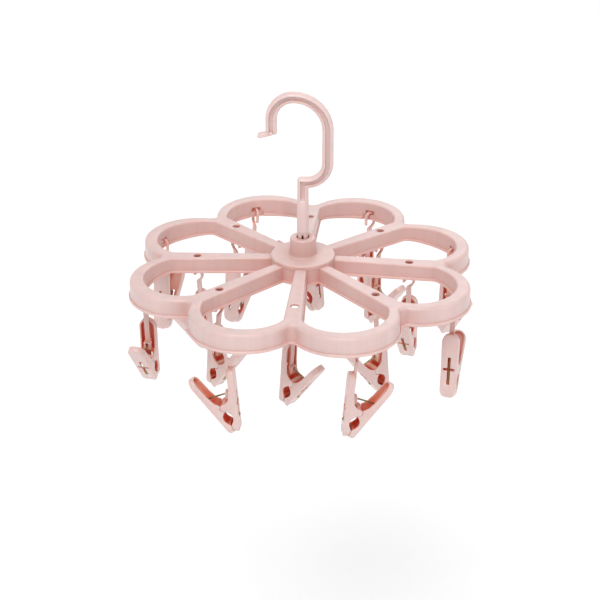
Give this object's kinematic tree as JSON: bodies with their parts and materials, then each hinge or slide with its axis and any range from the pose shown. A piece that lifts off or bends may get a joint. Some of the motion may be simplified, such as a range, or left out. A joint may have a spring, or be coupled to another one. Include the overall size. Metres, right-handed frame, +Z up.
{
  "type": "clip drying hanger",
  "caption": "Flower-shaped hanging frame with a swivel rail hook and spring clips that hang from its spokes and petals, for drying small laundry.",
  "frame": {"origin": "where the rail carries the hook, on the inside of the hook's top curve, straight above the swivel axis", "axes": "+Z up along the swivel axis; the hook's plane is XZ, with its open side towards -X; one spoke points along -Y"},
  "size_m": [0.2536, 0.2542, 0.2138],
  "materials": {
    "pink_plastic": "semi-gloss moulded polypropylene",
    "spring_wire": "dull yellowish spring steel"
  },
  "bodies": {
    "hook": {"hook": "pink_plastic"},
    "frame": {"frame": "pink_plastic"},
    "clip_spoke_1": {"hooked_jaw_spoke_1": "pink_plastic", "spring_spoke_1": "spring_wire"},
    "jaw_spoke_1": {"plain_jaw_spoke_1": "pink_plastic"},
    "clip_petal_1": {"hooked_jaw_petal_1": "pink_plastic", "spring_petal_1": "spring_wire"},
    "jaw_petal_1": {"plain_jaw_petal_1": "pink_plastic"},
    "clip_spoke_2": {"hooked_jaw_spoke_2": "pink_plastic", "spring_spoke_2": "spring_wire"},
    "jaw_spoke_2": {"plain_jaw_spoke_2": "pink_plastic"},
    "clip_petal_2": {"hooked_jaw_petal_2": "pink_plastic", "spring_petal_2": "spring_wire"},
    "jaw_petal_2": {"plain_jaw_petal_2": "pink_plastic"},
    "clip_spoke_3": {"hooked_jaw_spoke_3": "pink_plastic", "spring_spoke_3": "spring_wire"},
    "jaw_spoke_3": {"plain_jaw_spoke_3": "pink_plastic"},
    "clip_petal_3": {"hooked_jaw_petal_3": "pink_plastic", "spring_petal_3": "spring_wire"},
    "jaw_petal_3": {"plain_jaw_petal_3": "pink_plastic"},
    "clip_spoke_4": {"hooked_jaw_spoke_4": "pink_plastic", "spring_spoke_4": "spring_wire"},
    "jaw_spoke_4": {"plain_jaw_spoke_4": "pink_plastic"},
    "clip_petal_4": {"hooked_jaw_petal_4": "pink_plastic", "spring_petal_4": "spring_wire"},
    "jaw_petal_4": {"plain_jaw_petal_4": "pink_plastic"},
    "clip_spoke_5": {"hooked_jaw_spoke_5": "pink_plastic", "spring_spoke_5": "spring_wire"},
    "jaw_spoke_5": {"plain_jaw_spoke_5": "pink_plastic"},
    "clip_petal_5": {"hooked_jaw_petal_5": "pink_plastic", "spring_petal_5": "spring_wire"},
    "jaw_petal_5": {"plain_jaw_petal_5": "pink_plastic"},
    "clip_spoke_6": {"hooked_jaw_spoke_6": "pink_plastic", "spring_spoke_6": "spring_wire"},
    "jaw_spoke_6": {"plain_jaw_spoke_6": "pink_plastic"},
    "clip_petal_6": {"hooked_jaw_petal_6": "pink_plastic", "spring_petal_6": "spring_wire"},
    "jaw_petal_6": {"plain_jaw_petal_6": "pink_plastic"},
    "clip_spoke_7": {"hooked_jaw_spoke_7": "pink_plastic", "spring_spoke_7": "spring_wire"},
    "jaw_spoke_7": {"plain_jaw_spoke_7": "pink_plastic"},
    "clip_petal_7": {"hooked_jaw_petal_7": "pink_plastic", "spring_petal_7": "spring_wire"},
    "jaw_petal_7": {"plain_jaw_petal_7": "pink_plastic"},
    "clip_spoke_8": {"hooked_jaw_spoke_8": "pink_plastic", "spring_spoke_8": "spring_wire"},
    "jaw_spoke_8": {"plain_jaw_spoke_8": "pink_plastic"},
    "clip_petal_8": {"hooked_jaw_petal_8": "pink_plastic", "spring_petal_8": "spring_wire"},
    "jaw_petal_8": {"plain_jaw_petal_8": "pink_plastic"}
  },
  "joints": [
    {"name": "swivel", "type": "hinge", "parent": "hook", "child": "frame", "pos_m": [0, 0, -0.1162], "axis": [0, 0, 1], "continuous": true},
    {"name": "swing_spoke_1", "type": "hinge", "parent": "frame", "child": "clip_spoke_1", "pos_m": [0, -0.079, -0.1298], "axis": [1, 0, 0], "range_deg": [-20, 20]},
    {"name": "squeeze_spoke_1", "type": "hinge", "parent": "clip_spoke_1", "child": "jaw_spoke_1", "pos_m": [0.0003, -0.07922, -0.18035], "axis": [-0.5878, -0.809, 0], "range_deg": [0, 28], "stiffness_Nm_per_rad": 0.05, "springref_deg": -34.38, "deforming": ["spring_spoke_1"]},
    {"name": "swing_petal_1", "type": "hinge", "parent": "frame", "child": "clip_petal_1", "pos_m": [0.0464, -0.11202, -0.1325], "axis": [0.9239, 0.3827, 0], "range_deg": [-12, 12]},
    {"name": "squeeze_petal_1", "type": "hinge", "parent": "clip_petal_1", "child": "jaw_petal_1", "pos_m": [0.04677, -0.11195, -0.18315], "axis": [0.1822, -0.9833, 0], "range_deg": [0, 28], "stiffness_Nm_per_rad": 0.05, "springref_deg": -34.38, "deforming": ["spring_petal_1"]},
    {"name": "swing_spoke_2", "type": "hinge", "parent": "frame", "child": "clip_spoke_2", "pos_m": [0.05586, -0.05586, -0.1298], "axis": [0.7071, 0.7071, 0], "range_deg": [-20, 20]},
    {"name": "squeeze_spoke_2", "type": "hinge", "parent": "clip_spoke_2", "child": "jaw_spoke_2", "pos_m": [0.05557, -0.05609, -0.18035], "axis": [-0.6157, 0.788, 0], "range_deg": [0, 28], "stiffness_Nm_per_rad": 0.05, "springref_deg": -34.38, "deforming": ["spring_spoke_2"]},
    {"name": "swing_petal_2", "type": "hinge", "parent": "frame", "child": "clip_petal_2", "pos_m": [0.11202, -0.0464, -0.1325], "axis": [0.3827, 0.9239, 0], "range_deg": [-12, 12]},
    {"name": "squeeze_petal_2", "type": "hinge", "parent": "clip_petal_2", "child": "jaw_petal_2", "pos_m": [0.1121, -0.04604, -0.18315], "axis": [0.9763, -0.2164, 0], "range_deg": [0, 28], "stiffness_Nm_per_rad": 0.05, "springref_deg": -34.38, "deforming": ["spring_petal_2"]},
    {"name": "swing_spoke_3", "type": "hinge", "parent": "frame", "child": "clip_spoke_3", "pos_m": [0.079, 0, -0.1298], "axis": [0, 1, 0], "range_deg": [-20, 20]},
    {"name": "squeeze_spoke_3", "type": "hinge", "parent": "clip_spoke_3", "child": "jaw_spoke_3", "pos_m": [0.07891, -0.00036, -0.18035], "axis": [-0.9703, 0.2419, 0], "range_deg": [0, 28], "stiffness_Nm_per_rad": 0.05, "springref_deg": -34.38, "deforming": ["spring_spoke_3"]},
    {"name": "swing_petal_3", "type": "hinge", "parent": "frame", "child": "clip_petal_3", "pos_m": [0.11202, 0.0464, -0.1325], "axis": [-0.3827, 0.9239, 0], "range_deg": [-12, 12]},
    {"name": "squeeze_petal_3", "type": "hinge", "parent": "clip_petal_3", "child": "jaw_petal_3", "pos_m": [0.11221, 0.04608, -0.18315], "axis": [-0.8616, -0.5075, 0], "range_deg": [0, 28], "stiffness_Nm_per_rad": 0.05, "springref_deg": -34.38, "deforming": ["spring_petal_3"]},
    {"name": "swing_spoke_4", "type": "hinge", "parent": "frame", "child": "clip_spoke_4", "pos_m": [0.05586, 0.05586, -0.1298], "axis": [-0.7071, 0.7071, 0], "range_deg": [-20, 20]},
    {"name": "squeeze_spoke_4", "type": "hinge", "parent": "clip_spoke_4", "child": "jaw_spoke_4", "pos_m": [0.05615, 0.05562, -0.18035], "axis": [-0.6428, -0.766, 0], "range_deg": [0, 28], "stiffness_Nm_per_rad": 0.05, "springref_deg": -34.38, "deforming": ["spring_spoke_4"]},
    {"name": "swing_petal_4", "type": "hinge", "parent": "frame", "child": "clip_petal_4", "pos_m": [0.0464, 0.11202, -0.1325], "axis": [-0.9239, 0.3827, 0], "range_deg": [-12, 12]},
    {"name": "squeeze_petal_4", "type": "hinge", "parent": "clip_petal_4", "child": "jaw_petal_4", "pos_m": [0.04661, 0.11171, -0.18315], "axis": [-0.8339, -0.5519, 0], "range_deg": [0, 28], "stiffness_Nm_per_rad": 0.05, "springref_deg": -34.38, "deforming": ["spring_petal_4"]},
    {"name": "swing_spoke_5", "type": "hinge", "parent": "frame", "child": "clip_spoke_5", "pos_m": [0, 0.079, -0.1298], "axis": [-1, 0, 0], "range_deg": [-20, 20]},
    {"name": "squeeze_spoke_5", "type": "hinge", "parent": "clip_spoke_5", "child": "jaw_spoke_5", "pos_m": [-0.00032, 0.07919, -0.18035], "axis": [0.5, 0.866, 0], "range_deg": [0, 28], "stiffness_Nm_per_rad": 0.05, "springref_deg": -34.38, "deforming": ["spring_spoke_5"]},
    {"name": "swing_petal_5", "type": "hinge", "parent": "frame", "child": "clip_petal_5", "pos_m": [-0.0464, 0.11202, -0.1325], "axis": [-0.9239, -0.3827, 0], "range_deg": [-12, 12]},
    {"name": "squeeze_petal_5", "type": "hinge", "parent": "clip_petal_5", "child": "jaw_petal_5", "pos_m": [-0.04609, 0.11222, -0.18315], "axis": [0.5373, -0.8434, 0], "range_deg": [0, 28], "stiffness_Nm_per_rad": 0.05, "springref_deg": -34.38, "deforming": ["spring_petal_5"]},
    {"name": "swing_spoke_6", "type": "hinge", "parent": "frame", "child": "clip_spoke_6", "pos_m": [-0.05586, 0.05586, -0.1298], "axis": [-0.7071, -0.7071, 0], "range_deg": [-20, 20]},
    {"name": "squeeze_spoke_6", "type": "hinge", "parent": "clip_spoke_6", "child": "jaw_spoke_6", "pos_m": [-0.05565, 0.05617, -0.18035], "axis": [0.829, -0.5592, 0], "range_deg": [0, 28], "stiffness_Nm_per_rad": 0.05, "springref_deg": -34.38, "deforming": ["spring_spoke_6"]},
    {"name": "swing_petal_6", "type": "hinge", "parent": "frame", "child": "clip_petal_6", "pos_m": [-0.11202, 0.0464, -0.1325], "axis": [-0.3827, -0.9239, 0], "range_deg": [-12, 12]},
    {"name": "squeeze_petal_6", "type": "hinge", "parent": "clip_petal_6", "child": "jaw_petal_6", "pos_m": [-0.1119, 0.04675, -0.18315], "axis": [0.9426, -0.3338, 0], "range_deg": [0, 28], "stiffness_Nm_per_rad": 0.05, "springref_deg": -34.38, "deforming": ["spring_petal_6"]},
    {"name": "swing_spoke_7", "type": "hinge", "parent": "frame", "child": "clip_spoke_7", "pos_m": [-0.079, 0, -0.1298], "axis": [0, -1, 0], "range_deg": [-20, 20]},
    {"name": "squeeze_spoke_7", "type": "hinge", "parent": "clip_spoke_7", "child": "jaw_spoke_7", "pos_m": [-0.07922, -0.0003, -0.18035], "axis": [-0.809, 0.5878, 0], "range_deg": [0, 28], "stiffness_Nm_per_rad": 0.05, "springref_deg": -34.38, "deforming": ["spring_spoke_7"]},
    {"name": "swing_petal_7", "type": "hinge", "parent": "frame", "child": "clip_petal_7", "pos_m": [-0.11202, -0.0464, -0.1325], "axis": [0.3827, -0.9239, 0], "range_deg": [-12, 12]},
    {"name": "squeeze_petal_7", "type": "hinge", "parent": "clip_petal_7", "child": "jaw_petal_7", "pos_m": [-0.11209, -0.04676, -0.18315], "axis": [-0.9799, 0.1994, 0], "range_deg": [0, 28], "stiffness_Nm_per_rad": 0.05, "springref_deg": -34.38, "deforming": ["spring_petal_7"]},
    {"name": "swing_spoke_8", "type": "hinge", "parent": "frame", "child": "clip_spoke_8", "pos_m": [-0.05586, -0.05586, -0.1298], "axis": [0.7071, -0.7071, 0], "range_deg": [-20, 20]},
    {"name": "squeeze_spoke_8", "type": "hinge", "parent": "clip_spoke_8", "child": "jaw_spoke_8", "pos_m": [-0.05558, -0.0561, -0.18035], "axis": [-0.6428, -0.766, 0], "range_deg": [0, 28], "stiffness_Nm_per_rad": 0.05, "springref_deg": -34.38, "deforming": ["spring_spoke_8"]},
    {"name": "swing_petal_8", "type": "hinge", "parent": "frame", "child": "clip_petal_8", "pos_m": [-0.0464, -0.11202, -0.1325], "axis": [0.9239, -0.3827, 0], "range_deg": [-12, 12]},
    {"name": "squeeze_petal_8", "type": "hinge", "parent": "clip_petal_8", "child": "jaw_petal_8", "pos_m": [-0.04677, -0.11201, -0.18315], "axis": [0.0262, 0.9997, 0], "range_deg": [0, 28], "stiffness_Nm_per_rad": 0.05, "springref_deg": -34.38, "deforming": ["spring_petal_8"]}
  ]
}
